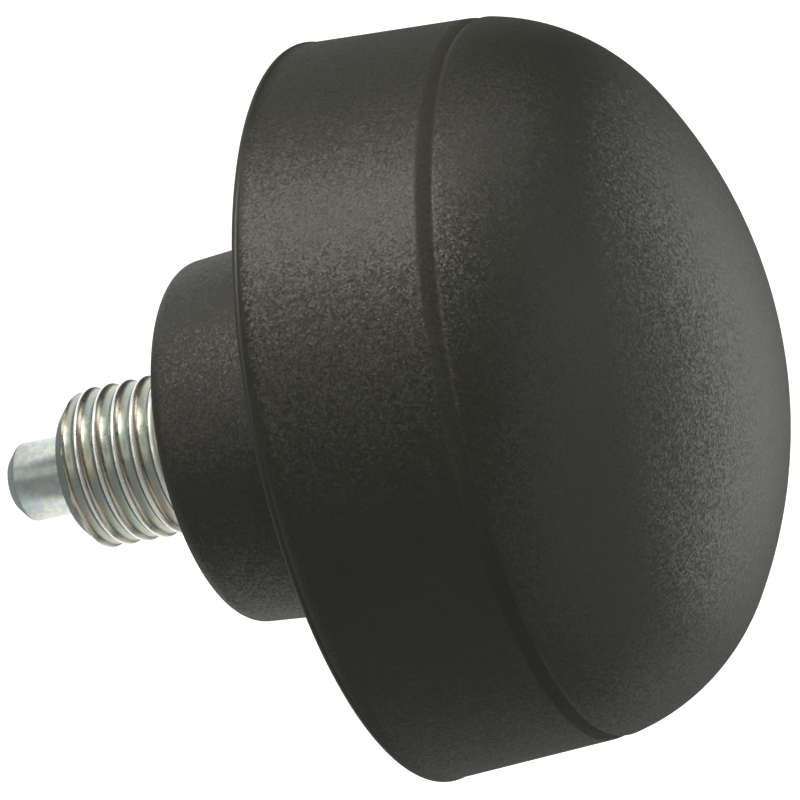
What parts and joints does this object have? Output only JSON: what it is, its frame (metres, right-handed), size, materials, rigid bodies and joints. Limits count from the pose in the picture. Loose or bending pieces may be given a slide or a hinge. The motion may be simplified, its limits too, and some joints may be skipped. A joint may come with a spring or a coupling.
{
  "type": "index plunger",
  "caption": "Spring-loaded index plunger with a hollow mushroom pull knob, a round collar and a threaded steel bush that guides a chamfered pin.",
  "frame": {"origin": "centre of the seating face, where the threaded shank meets the flange and the collar", "axes": "+Z along the pin, the way the knob is pulled; the pin and the thread point along -Z"},
  "size_m": [0.054, 0.054, 0.0584],
  "materials": {
    "black_plastic": "fine moulded grain",
    "zinc_steel": "zinc plated and passivated",
    "spring_steel": "drawn wire"
  },
  "bodies": {
    "housing": {"guide_bush": "zinc_steel", "collar": "black_plastic", "end_plug": "zinc_steel", "spring": "spring_steel"},
    "plunger": {"knob": "black_plastic", "index_pin": "zinc_steel"}
  },
  "joints": [
    {"name": "pull", "type": "slide", "parent": "housing", "child": "plunger", "axis": [0, 0, 1], "range_m": [0, 0.006], "stiffness_N_per_m": 1330, "springref_m": -0.0045, "deforming": ["spring"]}
  ]
}
